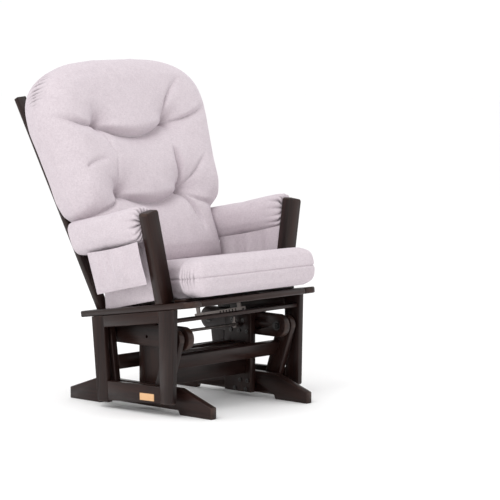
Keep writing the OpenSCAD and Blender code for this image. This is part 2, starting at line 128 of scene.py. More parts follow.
# A material's node tree, with short calls for the nodes that every finish uses
class Finish:
    def __init__(self, name):
        self.material = bpy.data.materials.new(name)
        self.material.use_nodes = True
        self.tree = self.material.node_tree
        self.shader = self.tree.nodes["Principled BSDF"]

    def add(self, kind, **settings):
        node = self.tree.nodes.new("ShaderNode" + kind)
        for name, value in settings.items():
            setattr(node, name, value)
        return node

    def join(self, output, socket):
        self.tree.links.new(output, socket)

    def set(self, **values):
        for name, value in values.items():
            self.shader.inputs[name.replace("_", " ")].default_value = value

    def attribute(self, name):
        return self.add("Attribute", attribute_name=name).outputs["Vector"]

    def objectSpace(self):
        return self.add("TexCoord").outputs["Object"]

    def stretched(self, vector, scale, shift=(0, 0, 0)):
        mapping = self.add("Mapping")
        mapping.inputs["Scale"].default_value = scale
        mapping.inputs["Location"].default_value = shift
        self.join(vector, mapping.inputs["Vector"])
        return mapping.outputs["Vector"]

    def noise(self, vector, scale, detail=3, rough=0.55):
        node = self.add("TexNoise")
        node.inputs["Scale"].default_value = scale
        node.inputs["Detail"].default_value = detail
        node.inputs["Roughness"].default_value = rough
        self.join(vector, node.inputs["Vector"])
        return node.outputs["Fac"]

    def span(self, value, low, high, newLow=0, newHigh=1):
        node = self.add("MapRange")
        for name, number in zip(("From Min", "From Max", "To Min", "To Max"), (low, high, newLow, newHigh)):
            node.inputs[name].default_value = number
        self.join(value, node.inputs["Value"])
        return node.outputs["Result"]

    def sum(self, operation, first, second):
        node = self.add("Math", operation=operation)
        for socket, value in zip(node.inputs, (first, second)):
            if isinstance(value, (int, float)):
                socket.default_value = value
            else:
                self.join(value, socket)
        return node.outputs["Value"]

    def mixed(self, factor, first, second):
        node = self.add("Mix", data_type="RGBA")
        self.join(factor, node.inputs["Factor"])
        for socket, value in ((node.inputs[6], first), (node.inputs[7], second)):
            if isinstance(value, tuple):
                socket.default_value = value
            else:
                self.join(value, socket)
        return node.outputs[2]

    def bumped(self, height, strength, distance):
        node = self.add("Bump")
        node.inputs["Strength"].default_value = strength
        node.inputs["Distance"].default_value = distance
        self.join(height, node.inputs["Height"])
        self.join(node.outputs["Normal"], self.shader.inputs["Normal"])


espressoLook = {
    "deep": (0.0080, 0.0040, 0.0036, 1),
    "warm": (0.0290, 0.0110, 0.0078, 1),
    "worn": (0.0700, 0.0400, 0.0300, 1),
    "figureScale": 26,
    "poreScale": 170,
    "lengthwise": 0.05,
}


def makeEspresso(look):
    # Satin lacquer over dark stain; "grain" holds each board's own axes, its length last
    f = Finish("espressoLacquer")
    grain = f.attribute("grain")
    along = f.stretched(grain, (1, 1, look["lengthwise"]))
    figure = f.noise(along, look["figureScale"], 4, 0.6)
    pores = f.noise(along, look["poreScale"], 5, 0.65)
    streaks = f.sum("ADD", f.span(figure, 0.35, 0.7, 0, 0.65), f.span(pores, 0.42, 0.75, 0, 0.45))
    stain = f.mixed(streaks, look["deep"], look["warm"])
    wear = f.add("Attribute", attribute_name="edgeWear").outputs["Fac"]
    patchy = f.span(f.noise(grain, 45, 3), 0.4, 0.7, 0.05, 0.55)
    f.join(f.mixed(f.sum("MULTIPLY", wear, patchy), stain, look["worn"]), f.shader.inputs["Base Color"])
    f.join(f.span(f.noise(grain, 30, 2), 0.3, 0.7, 0.32, 0.44), f.shader.inputs["Roughness"])
    f.set(Specular_IOR_Level=0.22, Coat_Weight=0.06, Coat_Roughness=0.16)
    f.bumped(f.span(pores, 0.35, 0.7), 0.22, 0.0005)
    return f.material


weaveLook = {
    "light": (0.640, 0.572, 0.604, 1),
    "dark": (0.505, 0.440, 0.474, 1),
    # painted shade: the near-black that the cloth colour is darkened towards in the creases
    "paintedShadeInCreases": (0.060, 0.045, 0.055, 1),
    "warpPitch": 0.0013,
    "slubLength": 0.012,
}


def makeWeave(look):
    # Fine two-way weave on the piece's own map, in metres
    f = Finish("lavenderWeave")
    weave = f.add("UVMap", uv_map="weave").outputs["UV"]
    turns = f.stretched(weave, (2 * pi / look["warpPitch"],) * 3)
    split = f.add("SeparateXYZ")
    f.join(turns, split.inputs[0])
    warp = f.sum("SINE", split.outputs[0], 0)
    weft = f.sum("SINE", split.outputs[1], 0)
    threads = f.sum("MULTIPLY", warp, weft)
    fine = 0.5 / look["warpPitch"]
    coarse = 1 / look["slubLength"]
    warpSlub = f.noise(f.stretched(weave, (fine, coarse, 1)), 1, 2, 0.6)
    weftSlub = f.noise(f.stretched(weave, (coarse, fine, 1), (7.3, 2.1, 0)), 1, 2, 0.6)
    slubs = f.sum("ADD", warpSlub, weftSlub)
    mottle = f.noise(f.stretched(weave, (30, 30, 1)), 1, 3)
    tone = f.sum("ADD", f.span(slubs, 0.65, 1.35), f.span(mottle, 0.3, 0.7, -0.12, 0.12))
    # painted shade: the cloth colour is darkened in the creases of the gathers, by the creases' mask stored
    # on the piece
    creaseShade = f.span(f.add("Attribute", attribute_name="creaseShade").outputs["Fac"], 0.1, 1, 0, 0.85)
    woven = f.mixed(tone, look["dark"], look["light"])
    f.join(f.mixed(creaseShade, woven, look["paintedShadeInCreases"]), f.shader.inputs["Base Color"])
    f.set(Roughness=0.88, Specular_IOR_Level=0.18, Sheen_Weight=0.35, Sheen_Roughness=0.45)
    f.shader.inputs["Sheen Tint"].default_value = (0.93, 0.88, 0.95, 1)
    height = f.sum("ADD", f.sum("MULTIPLY", threads, 0.5), f.span(slubs, 0.6, 1.4, 0, 1.4))
    f.bumped(height, 0.35, 0.0005)
    return f.material


def makeThread():
    f = Finish("lavenderThread")
    shade = f.noise(f.objectSpace(), 900, 2)
    f.join(f.mixed(shade, (0.50, 0.43, 0.48, 1), (0.60, 0.53, 0.58, 1)), f.shader.inputs["Base Color"])
    f.set(Roughness=0.6, Sheen_Weight=0.2)
    return f.material


steelLooks = {
    "boltSteel": {"dark": (0.030, 0.029, 0.028, 1), "light": (0.085, 0.082, 0.080, 1), "rough": (0.30, 0.45)},
    "lockSteel": {"dark": (0.13, 0.11, 0.10, 1), "light": (0.25, 0.22, 0.21, 1), "rough": (0.38, 0.55)},
}


def makeSteel(name, look):
    f = Finish(name)
    place = f.objectSpace()
    blotch = f.noise(place, 60, 4, 0.6)
    brushed = f.noise(f.stretched(place, (1, 0.06, 1)), 700, 3)
    tone = f.sum("ADD", f.span(blotch, 0.3, 0.7, 0, 0.7), f.span(brushed, 0.35, 0.65, 0, 0.3))
    f.join(f.mixed(tone, look["dark"], look["light"]), f.shader.inputs["Base Color"])
    f.join(f.span(blotch, 0.3, 0.7, *look["rough"]), f.shader.inputs["Roughness"])
    f.set(Metallic=0.85)
    f.bumped(brushed, 0.08, 0.0003)
    return f.material


def makeTan():
    f = Finish("tanBadge")
    place = f.objectSpace()
    streaks = f.noise(f.stretched(place, (1, 0.12, 1)), 260, 4, 0.6)
    f.join(f.mixed(streaks, (0.62, 0.33, 0.15, 1), (0.80, 0.50, 0.25, 1)), f.shader.inputs["Base Color"])
    f.set(Roughness=0.42, Coat_Weight=0.3, Coat_Roughness=0.2)
    f.bumped(streaks, 0.15, 0.0003)
    return f.material


espresso = makeEspresso(espressoLook)
lavender = makeWeave(weaveLook)
threadDye = makeThread()
boltSteel = makeSteel("boltSteel", steelLooks["boltSteel"])
lockPlate = makeSteel("lockSteel", steelLooks["lockSteel"])
badgeTan = makeTan()
print("finishes made")


def addPiece(name, mesh, material):
    piece = bpy.data.objects.new(name, mesh)
    bpy.context.scene.collection.objects.link(piece)
    mesh.materials.clear()
    mesh.materials.append(material)
    return piece


def plainMesh(piece):
    # The piece as its modifiers make it, with none left on it
    graph = bpy.context.evaluated_depsgraph_get()
    made = bpy.data.meshes.new_from_object(piece.evaluated_get(graph))
    piece.modifiers.clear()
    old = piece.data
    piece.data = made
    bpy.data.meshes.remove(old)
    return piece


def storeField(mesh, name, values, kind="FLOAT"):
    slot = "vector" if kind == "FLOAT_VECTOR" else "value"
    field = mesh.attributes.new(name, kind, "POINT")
    field.data.foreach_set(slot, values.astype(np.float32).ravel())


def pointsOf(mesh):
    points = np.empty(len(mesh.vertices) * 3)
    mesh.vertices.foreach_get("co", points)
    return points.reshape(-1, 3)


def movePoints(mesh, points):
    mesh.vertices.foreach_set("co", points.astype(np.float32).ravel())
    mesh.update()


def normalsOf(mesh):
    normals = np.empty(len(mesh.vertices) * 3)
    mesh.vertices.foreach_get("normal", normals)
    return normals.reshape(-1, 3)


def evened(mesh, field, rounds):
    # Averages a value kept on the points with its neighbours' values
    edges = np.empty(len(mesh.edges) * 2, int)
    mesh.edges.foreach_get("vertices", edges)
    ends = edges.reshape(-1, 2)
    here = ends.T.ravel()
    there = ends[:, ::-1].T.ravel()
    count = np.bincount(here, minlength=len(field))[:, None]
    for _ in range(rounds):
        columns = [np.bincount(here, weights=column[there], minlength=len(field)) for column in field.T]
        field = (field + np.stack(columns, 1) / count) / 2
    return field


def smoothTo(mesh, angle):
    mesh.shade_smooth()
    mesh.set_sharp_from_angle(angle=radians(angle))


boardLook = {
    "edge": 0.0028,
    "softEdge": 0.0045,
    "segments": 3,
    # shorter rings of sharp edges are taken for bolt holes and left sharp
    "smallestRing": 0.11,
    # points that touch only faces below this share of the largest count as rounded edges
    "smallShare": 0.02,
    "softNodes": (
        "arm_post_right", "arm_post_left", "seat_board_right", "seat_board_left", "seat_board_front",
    ),
}


def storeGrain(mesh, seed):
    # Board axes from its faces: the longest direction is the grain's
    centres = np.array([p.center for p in mesh.polygons])
    areas = np.array([p.area for p in mesh.polygons])[:, None]
    middle = (centres * areas).sum(0) / areas.sum()
    spread = (centres - middle) * np.sqrt(areas)
    axes = np.linalg.eigh(spread.T @ spread)[1]
    shift = np.random.default_rng(seed).uniform(-3, 3, 3)
    grain = (pointsOf(mesh) - middle) @ axes + shift
    storeField(mesh, "grain", grain, "FLOAT_VECTOR")


def storeEdgeWear(mesh, smallShare):
    # 1 on the points that only the rounded edges touch
    largest = np.zeros(len(mesh.vertices))
    for p in mesh.polygons:
        for v in p.vertices:
            largest[v] = max(largest[v], p.area)
    wear = np.where(largest < largest.max() * smallShare, 1.0, 0.0)
    storeField(mesh, "edgeWear", wear)


def edgesToRound(bm, angle, smallest):
    # The sharp edges, without the short rings of them around bolt holes
    sharp = {edge for edge in bm.edges if edge.is_manifold and edge.calc_face_angle() > angle}
    chosen = []
    while sharp:
        ring = [sharp.pop()]
        for edge in ring:
            for corner in edge.verts:
                joined = [other for other in corner.link_edges if other in sharp]
                sharp.difference_update(joined)
                ring += joined
        if sum(edge.calc_length() for edge in ring) > smallest:
            chosen += ring
    return chosen


def makeBoard(node, seed, look):
    bm = bmesh.new()
    bm.from_mesh(nodes[node].data)
    bmesh.ops.remove_doubles(bm, verts=bm.verts, dist=0.00002)
    bmesh.ops.dissolve_limit(bm, angle_limit=radians(0.8), verts=bm.verts, edges=bm.edges)
    weight = bm.edges.layers.float.new("bevel_weight_edge")
    for edge in edgesToRound(bm, radians(32), look["smallestRing"]):
        edge[weight] = 1
    mesh = bpy.data.meshes.new(node + "_board")
    bm.to_mesh(mesh)
    bm.free()
    board = addPiece(node + "_board", mesh, espresso)
    bevel = board.modifiers.new("edges", "BEVEL")
    bevel.width = look["softEdge"] if node in look["softNodes"] else look["edge"]
    bevel.segments = look["segments"]
    bevel.limit_method = "WEIGHT"
    bevel.use_clamp_overlap = False
    bevel.harden_normals = True
    plainMesh(board)
    smoothTo(board.data, 40)
    storeGrain(board.data, seed)
    storeEdgeWear(board.data, look["smallShare"])
    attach(board, bodyOf[node])
    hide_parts(node)
    return board


for seed, node in enumerate(sorted(n for n in nodes if slotOf[n] == "wood")):
    makeBoard(node, seed, boardLook)
print("boards made")

for node, piece in nodes.items():
    finish = {"fastener_steel": boltSteel, "lock_steel": lockPlate, "badge": badgeTan}.get(slotOf[node])
    if finish:
        for place in piece.material_slots:
            place.material = finish
print("steel and badge finished")


# The axes that a leaning piece is made in: x across, then a turn about x, y and z
class Place:
    def __init__(self, node, lean, yaw=0):
        turn = Matrix.Rotation(radians(yaw), 3, "Z") @ Matrix.Rotation(radians(-lean), 3, "X")
        self.turn = np.array(turn)
        points = pointsOf(nodes[node].data) @ self.turn
        self.low, self.high = points.min(0), points.max(0)

    def local(self, points):
        return points @ self.turn

    def world(self, points):
        return points @ self.turn.T


def sweepOf(start, bend, end, count=22):
    s = np.linspace(0, 1, count)[:, None]
    start, bend, end = (np.array(p, float) for p in (start, bend, end))
    return (1 - s) ** 2 * start + 2 * s * (1 - s) * bend + s**2 * end


def nearPath(points, path):
    # Distance to the path, how far along it, and the side: 1 or -1, and between them past its ends
    best = np.full(len(points), 9.0)
    along = np.zeros(len(points))
    side = np.zeros(len(points))
    for i, (spot, step) in enumerate(zip(path, np.diff(path, axis=0))):
        away = points - spot
        reached = np.clip(away @ step / (step @ step), 0, 1)
        off = away - reached[:, None] * step
        far = np.hypot(off[:, 0], off[:, 1])
        cross = (step[0] * off[:, 1] - step[1] * off[:, 0]) / (np.hypot(*step) * np.maximum(far, 1e-9))
        closer = far < best
        best = np.where(closer, far, best)
        along = np.where(closer, (i + reached) / (len(path) - 1), along)
        side = np.where(closer, cross, side)
    return best, along, side


def smoothStep(value, low, high):
    s = np.clip((value - low) / (high - low), 0, 1)
    return s * s * (3 - 2 * s)


def pillowMesh(name, halfWidth, ends, halfDepth, edge, power, rows=110, columns=61):
    # Two crowned faces over an outline; halfWidth and halfDepth are functions of the height v
    rise = [np.append(np.sin(np.linspace(0, 0.97 * pi / 2, count - 1)), 1) for count in (rows, 500)]
    v, fine = (ends[0] + (ends[1] - ends[0]) * r for r in rise)
    wide = halfWidth(v)
    spread = np.linspace(-1, 1, columns)
    u = wide[:, None] * spread[None, :]
    vs = np.repeat(v[:, None], columns, 1)
    rim = np.concatenate([
        np.stack([wide, v], 1),
        np.stack([-wide, v], 1),
        np.stack([halfWidth(fine), fine], 1),
        np.stack([-halfWidth(fine), fine], 1),
        np.stack([wide[0] * spread, np.full(columns, v[0])], 1),
        np.stack([wide[-1] * spread, np.full(columns, v[-1])], 1),
    ])
    flat = np.stack([u.ravel(), vs.ravel()], 1)
    inside = np.array([np.hypot(*(rim - p).T).min() for p in flat])
    depth = halfDepth(flat[:, 1])
    reach = 1 - np.clip(inside / edge, 0, 1)
    depth = depth * (1 - reach**power) ** (1 / power)
    front = np.stack([flat[:, 0], -depth, flat[:, 1]], 1)
    back = np.stack([flat[:, 0], depth, flat[:, 1]], 1)
    count = rows * columns
    faces = []
    for i in range(rows - 1):
        for j in range(columns - 1):
            a, b = i * columns + j, i * columns + j + 1
            c, d = b + columns, a + columns
            faces.append((a, b, c, d))
            faces.append((d + count, c + count, b + count, a + count))
    bm = bmesh.new()
    spots = [bm.verts.new(p) for p in np.concatenate([front, back])]
    for face in faces:
        bm.faces.new([spots[i] for i in face])
    bmesh.ops.remove_doubles(bm, verts=bm.verts, dist=0.0004)
    bmesh.ops.recalc_face_normals(bm, faces=bm.faces)
    mesh = bpy.data.meshes.new(name)
    bm.to_mesh(mesh)
    bm.free()
    return mesh


def remesh(piece, voxel):
    even = piece.modifiers.new("even", "REMESH")
    even.mode = "VOXEL"
    even.voxel_size = voxel
    return plainMesh(piece)


def inflate(piece, pressure, cap, smoothing, frames=20):
    # Fills the piece as a cloth bag, and lets no point move further than the cap
    start = pointsOf(piece.data)
    cloth = piece.modifiers.new("filling", "CLOTH")
    cloth.settings.use_pressure = True
    cloth.settings.uniform_pressure_force = pressure
    cloth.settings.effector_weights.gravity = 0
    cloth.settings.quality = 5
    cloth.point_cache.frame_start = 1
    cloth.point_cache.frame_end = frames
    scene = bpy.context.scene
    for step in range(1, frames + 1):
        scene.frame_set(step)
    graph = bpy.context.evaluated_depsgraph_get()
    swollen = pointsOf(piece.evaluated_get(graph).data)
    piece.modifiers.clear()
    scene.frame_set(1)
    move = evened(piece.data, swollen - start, smoothing)
    far = np.linalg.norm(move, axis=1)[:, None]
    filled = start + move * np.minimum(1, cap / np.maximum(far, 1e-9))
    movePoints(piece.data, evened(piece.data, filled, 3))


def subdivide(piece):
    finer = piece.modifiers.new("finer", "SUBSURF")
    finer.levels = 1
    finer.render_levels = 1
    return plainMesh(piece)


def storeWeave(mesh, place):
    # The weave's map, in metres, laid on each face along the two axes that it faces least
    corners = place.local(pointsOf(mesh))
    uv = mesh.uv_layers.new(name="weave")
    faces = np.empty(len(mesh.loops), int)
    mesh.loops.foreach_get("vertex_index", faces)
    normals = np.empty(len(mesh.polygons) * 3)
    mesh.polygons.foreach_get("normal", normals)
    facing = np.abs(place.local(normals.reshape(-1, 3))).argmax(1)
    counts = np.empty(len(mesh.polygons), int)
    mesh.polygons.foreach_get("loop_total", counts)
    facing = np.repeat(facing, counts)
    spots = corners[faces]
    across = np.where(facing == 0, spots[:, 1], spots[:, 0])
    up = np.where(facing == 2, spots[:, 1], spots[:, 2])
    uv.data.foreach_set("uv", np.stack([across, up], 1).astype(np.float32).ravel())


def finishSoft(piece, place, node, creaseShade):
    # the last value is painted shade: 1 in the deepest creases, where the cloth colour is darkened as if in
    # shade
    mesh = piece.data
    storeField(mesh, "creaseShade", creaseShade)
    movePoints(mesh, place.world(pointsOf(mesh)))
    storeWeave(mesh, place)
    mesh.shade_smooth()
    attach(piece, bodyOf[node])
    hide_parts(node)
    return piece


def keepBeyond(points, place, axis, face, gap, side):
    # Flattens the points against a face of a leaning node: side 1 stays above it, -1 below
    local = place.local(points)
    stop = (place.low if face == "low" else place.high)[axis] + gap
    past = side * (stop - local[:, axis])
    local[:, axis] = np.where(past > 0, stop + side * 0.04 * past, local[:, axis])
    return place.world(local)


seatLook = {
    "lean": 8.2,
    "halfWidth": 0.222,
    "frontHalfWidth": 0.277,
    "frontLength": 0.125,
    "corner": 0.050,
    "overhang": -0.024,
    "halfDepth": 0.052,
    "edge": 0.042,
    "edgePower": 2.8,
    "voxel": 0.0052,
    "pressure": 4,
    "cap": 0.010,
    "smoothing": 12,
    "seamDepth": 0.0060,
    "seamReach": 0.0035,
    # the gathers on both sides, measured from the front
    "gatherDepth": 0.0150,
    "gatherPitch": 0.0135,
    "gatherReach": 0.024,
    "gatherMiddle": 0.088,
    "gatherHalf": 0.056,
    "fill": 0.85,
}


def makeSeatCushion(look):
    place = Place("seat_cushion", look["lean"])
    length = place.high[1] - place.low[1] - 2 * look["overhang"]

    def halfWidth(v):
        front = 1 - smoothStep(v, look["frontLength"] * 0.7, look["frontLength"] * 1.3)
        wide = look["halfWidth"] + (look["frontHalfWidth"] - look["halfWidth"]) * front
        back = np.clip((look["corner"] - v) / look["corner"], 0, 1)
        return wide - look["corner"] * (1 - np.sqrt(np.maximum(1 - back**2, 0)))

    mesh = pillowMesh(
        "seatCushion", halfWidth, (0, length), lambda v: np.full(len(v), look["halfDepth"]),
        look["edge"], look["edgePower"], 84, 71,
    )
    # made standing, then laid down so that its height v runs to the rear
    points = pointsOf(mesh)
    movePoints(mesh, np.stack([points[:, 0], points[:, 2], -points[:, 1]], 1))
    piece = addPiece("seat_cushion_cover", mesh, lavender)
    remesh(piece, look["voxel"])
    inflate(piece, look["pressure"], look["cap"], look["smoothing"])
    subdivide(piece)
    mesh = piece.data
    points = pointsOf(mesh)
    normals = normalsOf(mesh)
    sideways = np.hypot(normals[:, 0], normals[:, 1])
    seam = look["seamDepth"] * np.exp(-np.abs(points[:, 2]) / look["seamReach"])
    # gathers: narrow creases across the seam on the sides, near each front corner
    v = points[:, 1]
    onSides = np.abs(points[:, 0]) > 0.15
    cluster = np.exp(-(((v - look["gatherMiddle"]) / look["gatherHalf"]) ** 4)) * onSides
    turns = pi * (v / look["gatherPitch"] + 0.2 * np.sin(v * 90) + 3 * points[:, 2])
    crease = (1 - np.abs(np.sin(turns))) ** 1.3
    fade = np.exp(-((np.abs(points[:, 2]) / look["gatherReach"]) ** 1.4))
    pucker = look["gatherDepth"] * cluster * fade * (crease * (0.7 + 0.3 * np.sin(v * 230)) - 0.25)
    inward = (seam + pucker) * np.clip(sideways * 1.6 - 0.3, 0, 1)
    points = points - normals * inward[:, None]
    lift = (place.low[2] + place.high[2]) / 2
    points = place.world(points + (0, place.low[1] + look["overhang"], lift))
    points = keepBeyond(points, Place("seat_slats", look["lean"]), 2, "high", 0.001, 1)
    movePoints(mesh, place.local(points))
    # the creases' mask is stored to darken the cloth there as painted shade
    return finishSoft(piece, place, "seat_cushion", crease * cluster * fade)


makeSeatCushion(seatLook)
print("seat cushion made")

backLook = {
    "lean": 22,
    "frameLean": 26.6,
    # half widths up the back, below the round top
    "sides": ((-0.05, 0.258), (0.03, 0.267), (0.115, 0.268), (0.14, 0.286), (0.165, 0.318), (0.22, 0.334),
              (0.30, 0.342), (0.38, 0.353), (0.47, 0.366)),
    "topMiddle": 0.47,
    "topRise": 0.214,
    "topPower": 2.9,
    "topFlat": 0.002,
    "foot": -0.05,
    "depths": ((-0.05, 0.064), (0.12, 0.076), (0.22, 0.087), (0.45, 0.088), (0.67, 0.080)),
    "edge": 0.066,
    "edgePower": 2.6,
    "voxel": 0.0075,
    "pressure": 4,
    "cap": 0.014,
    "smoothing": 50,
    "seamDepth": 0.0025,
    "seamReach": 0.0035,
    # gathers at the upper corners, measured up the back
    "gatherDepth": 0.0075,
    "gatherPitch": 0.0170,
    "gatherReach": 0.030,
    "gatherMiddle": 0.590,
    "gatherHalf": 0.055,
    # the CAD solid's height above this piece's foot, and half its depth
    "cadHeight": 0.654,
    "cadHalfDepth": 0.085,
    "upperTuft": (0.154, 0.442),
    "lowerTuft": (0.138, 0.210),
    "tuftDepth": 0.094,
    "tuftReach": 0.026,
    # the whole pattern sits a little to the sitter's right
    "patternShift": 0.013,
    # start, bend, end, depth, reach above, reach below; the outer ones are made on both sides
    "middleFolds": (
        ((-0.154, 0.442), (0, 0.346), (0.154, 0.442), 0.060, 0.008, 0.038, 0.10),
        ((-0.138, 0.210), (0, 0.128), (0.138, 0.210), 0.056, 0.008, 0.036, 0.10),
    ),
    "sideFolds": (
        ((0.154, 0.442), (0.230, 0.425), (0.345, 0.488), 0.050, 0.007, 0.020, 0.7),
        ((0.154, 0.442), (0.150, 0.380), (0.118, 0.305), 0.036, 0.010, 0.010, 0.9),
        ((0.138, 0.210), (0.200, 0.130), (0.320, 0.150), 0.038, 0.008, 0.018, 0.8),
    ),
    # folds on one side only
    "oddFolds": (
        ((0.154, 0.442), (0.125, 0.500), (0.240, 0.580), 0.044, 0.008, 0.014, 0.7),
        ((-0.154, 0.442), (-0.165, 0.470), (-0.182, 0.512), 0.040, 0.010, 0.010, 0.8),
        ((0.138, 0.210), (0.152, 0.270), (0.136, 0.350), 0.062, 0.016, 0.007, 0.5),
        ((0.138, 0.210), (0.185, 0.240), (0.270, 0.318), 0.040, 0.008, 0.012, 0.8),
        ((0.138, 0.210), (0.178, 0.140), (0.184, 0.050), 0.062, 0.007, 0.018, 0.9),
        ((-0.138, 0.210), (-0.142, 0.265), (-0.128, 0.330), 0.034, 0.009, 0.010, 0.9),
        ((-0.138, 0.210), (-0.150, 0.245), (-0.200, 0.262), 0.038, 0.009, 0.012, 0.8),
        ((-0.255, 0.300), (-0.215, 0.318), (-0.170, 0.315), 0.014, 0.009, 0.012, 0.4),
    ),
    "fill": 0.75,
}


def backHalfWidth(v, look=backLook):
    heights, halves = np.array(look["sides"]).T
    even = np.linspace(look["foot"], look["topMiddle"] + look["topRise"], 500)
    wide = np.interp(even, heights, halves)
    rise = np.clip((even - look["topMiddle"]) / look["topRise"], 0, 1)
    wide = wide * (1 - rise ** look["topPower"]) ** (1 / look["topPower"])
    window = np.hanning(19)
    padded = np.concatenate([np.full(9, wide[0]), wide, np.zeros(9)])
    soft = np.convolve(padded, window / window.sum(), "valid")
    return np.interp(v, even, np.minimum(soft, wide + 0.004))


def foldField(points, look):
    # How deep the tufts and folds draw the front face in, in metres
    total = np.zeros(len(points))
    for u, v in (look["upperTuft"], look["lowerTuft"]):
        for side in (-1, 1):
            far = np.hypot(points[:, 0] - side * u, points[:, 1] - v)
            total += (look["tuftDepth"] * np.exp(-((far / look["tuftReach"]) ** 0.9))) ** 3
    folds = list(look["middleFolds"] + look["oddFolds"])
    for start, bend, end, *rest in look["sideFolds"]:
        folds.append((start, bend, end, *rest))
        (a, b), (c, d), (e, f) = start, bend, end
        depth, above, below, fade = rest
        folds.append(((-a, b), (-c, d), (-e, f), depth, below, above, fade))
    for start, bend, end, depth, above, below, fade in folds:
        far, along, side = nearPath(points, sweepOf(start, bend, end))
        reach = below + (above - below) * (0.5 + 0.5 * side)
        if fade < 0.2:
            strength = 1 - fade * np.sin(pi * along)
        else:
            strength = (1 - along) ** fade
        total += (depth * strength * np.exp(-far / (reach * (0.6 + 0.8 * along)))) ** 3
    return total ** (1 / 3)


def makeBackCushion(look):
    place = Place("back_cushion", look["lean"])
    heights, halves = np.array(look["depths"]).T
    mesh = pillowMesh(
        "backCushion", backHalfWidth, (look["foot"], look["topMiddle"] + look["topRise"] - look["topFlat"]),
        lambda v: np.interp(v, heights, halves), look["edge"], look["edgePower"],
    )
    piece = addPiece("back_cushion_cover", mesh, lavender)
    remesh(piece, look["voxel"])
    inflate(piece, look["pressure"], look["cap"], look["smoothing"])
    subdivide(piece)
    mesh = piece.data
    points = pointsOf(mesh)
    normals = normalsOf(mesh)
    sideways = np.clip(np.hypot(normals[:, 0], normals[:, 2]) * 1.6 - 0.3, 0, 1)
    seam = look["seamDepth"] * np.exp(-np.abs(points[:, 1]) / look["seamReach"])
    u, v = np.abs(points[:, 0]), points[:, 2]
    cluster = np.exp(-(((v - look["gatherMiddle"]) / look["gatherHalf"]) ** 4)) * (u > 0.24)
    turns = pi * ((v - 0.5 * u) / look["gatherPitch"] + 0.3 * np.sin(v * 90))
    crease = (1 - np.abs(np.sin(turns))) ** 1.3
    fade = np.exp(-((np.abs(points[:, 1]) / look["gatherReach"]) ** 1.4))
    pucker = look["gatherDepth"] * cluster * (crease - 0.2) * fade
    points -= normals * ((seam + pucker) * sideways)[:, None]
    front = np.clip(-points[:, 1] / 0.05, 0, 1)
    drawn = foldField(points[:, [0, 2]] + (look["patternShift"], 0), look)
    points[:, 1] += drawn * front * smoothStep(front, 0, 0.6)
    middle = place.low[1] + look["cadHalfDepth"]
    foot = place.high[2] - look["cadHeight"]
    points = place.world(points + (0, middle, foot))
    points = keepBeyond(points, Place("back_post_left", look["frameLean"]), 1, "low", -0.0015, -1)
    points = keepBeyond(points, Place("seat_cushion", seatLook["lean"]), 2, "high", 0.0015, 1)
    movePoints(mesh, place.local(points))
    # the creases' mask is stored to darken the cloth there as painted shade
    return finishSoft(piece, place, "back_cushion", crease * cluster * fade)


makeBackCushion(backLook)
print("back cushion made")


armLook = {
    "lean": 12.2,
    "yaw": 6.2,
    "halfWidth": 0.039,
    "halfHeight": 0.056,
    "rearwards": 0.010,
    "power": 3.4,
    # how far the ends lean from square, in degrees, and how round they are
    "frontLean": -9.9,
    "rearLean": 14.4,
    "endRound": 0.020,
    "voxel": 0.0055,
    "pressure": 4,
    "cap": 0.008,
    "smoothing": 10,
    "gatherDepth": 0.0150,
    "gatherReach": 0.030,
    "gathers": 17,
    "postLean": 2.3,
    "fill": 0.7,
}


